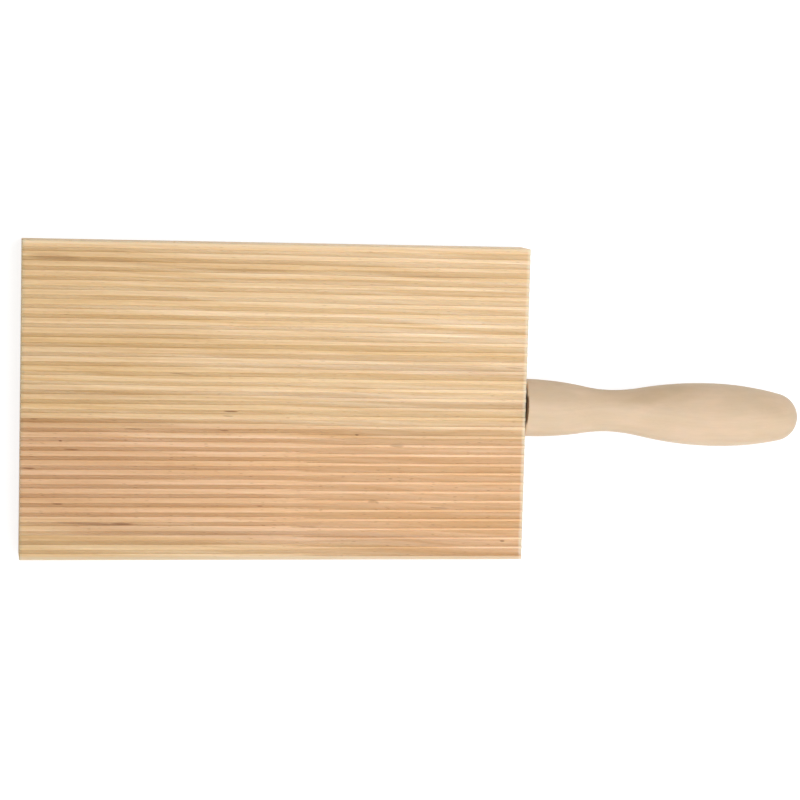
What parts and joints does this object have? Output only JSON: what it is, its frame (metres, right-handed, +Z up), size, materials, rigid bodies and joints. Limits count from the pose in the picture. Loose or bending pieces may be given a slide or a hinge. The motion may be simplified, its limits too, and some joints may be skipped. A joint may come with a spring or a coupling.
{
  "type": "gnocchi board",
  "caption": "Ridged wooden board for shaping gnocchi, with a turned handle glued into one end.",
  "frame": {"origin": "centre of the flat underside of the board", "axes": "+X along the ridges towards the handle, +Y across the ridges, +Z up, out of the ridged face"},
  "size_m": [0.3156, 0.1248, 0.0256],
  "materials": {
    "board_wood": "planed, unfinished",
    "handle_wood": "turned and sanded, unfinished"
  },
  "bodies": {
    "root": {"board": "board_wood", "handle": "handle_wood"}
  },
  "joints": []
}
